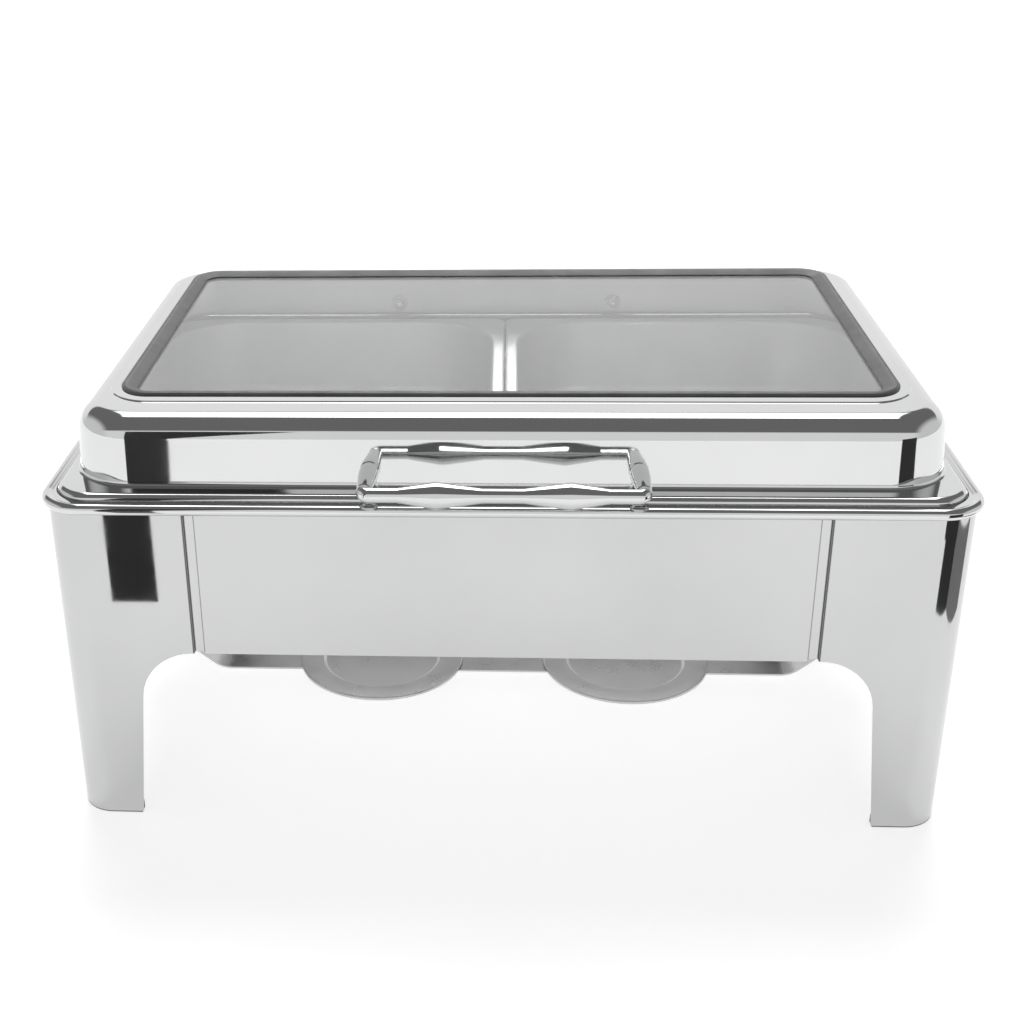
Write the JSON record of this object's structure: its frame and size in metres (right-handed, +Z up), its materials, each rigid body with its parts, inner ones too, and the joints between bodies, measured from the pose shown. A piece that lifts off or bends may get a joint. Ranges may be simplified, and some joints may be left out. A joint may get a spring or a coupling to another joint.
{
  "type": "buffet server",
  "caption": "Rectangular chafing server with a rear-hinged window lid, side-by-side food pans in a water pan, and a stand with a burner rail.",
  "frame": {"origin": "on the floor under the middle of the overall box, lid closed; the middle of the rim is 9.4 mm behind it, because the handle reaches further out than the hinges", "axes": "+X to the right seen from the handle, +Y from the handle towards the hinges, +Z up"},
  "size_m": [0.6, 0.4502, 0.2866],
  "materials": {
    "polished_steel": "mirror polished stainless sheet",
    "satin_steel": "satin stainless steel",
    "black_plastic": "moulded black plastic",
    "black_rubber": "extruded black rubber",
    "window_glass": "clear toughened glass"
  },
  "bodies": {
    "stand": {"left_end_frame": "polished_steel", "right_end_frame": "polished_steel", "front_apron": "polished_steel", "rear_apron": "polished_steel", "foot_inserts": "black_plastic", "burner_rail": "satin_steel", "rail_rivets": "satin_steel", "burner_tray_left": "satin_steel", "burner_tray_right": "satin_steel"},
    "water_pan": {"water_pan": "polished_steel", "hinge_bracket_left": "polished_steel", "hinge_bracket_right": "polished_steel", "bracket_rivets": "satin_steel", "hinge_pins": "satin_steel"},
    "food_pan_left": {"food_pan_left": "polished_steel"},
    "food_pan_right": {"food_pan_right": "polished_steel"},
    "lid": {"lid_shell": "polished_steel", "window_gasket": "black_rubber", "window_glass": "window_glass", "hinge_strap_left": "polished_steel", "hinge_strap_right": "polished_steel", "hinge_screws": "satin_steel", "lid_washers": "satin_steel", "lid_nuts": "polished_steel", "handle_bar": "polished_steel", "handle_post_left": "polished_steel", "handle_post_right": "polished_steel", "handle_studs": "satin_steel"}
  },
  "joints": [
    {"name": "water_pan_lift", "type": "slide", "parent": "stand", "child": "water_pan", "axis": [0, 0, 1], "range_m": [0, 0.12]},
    {"name": "food_pan_left_lift", "type": "slide", "parent": "water_pan", "child": "food_pan_left", "axis": [0, 0, 1], "range_m": [0, 0.02]},
    {"name": "food_pan_right_lift", "type": "slide", "parent": "water_pan", "child": "food_pan_right", "axis": [0, 0, 1], "range_m": [0, 0.02]},
    {"name": "lid_hinge", "type": "hinge", "parent": "water_pan", "child": "lid", "pos_m": [0, 0.22062, 0.243], "axis": [-1, 0, 0], "range_deg": [0, 100]}
  ]
}
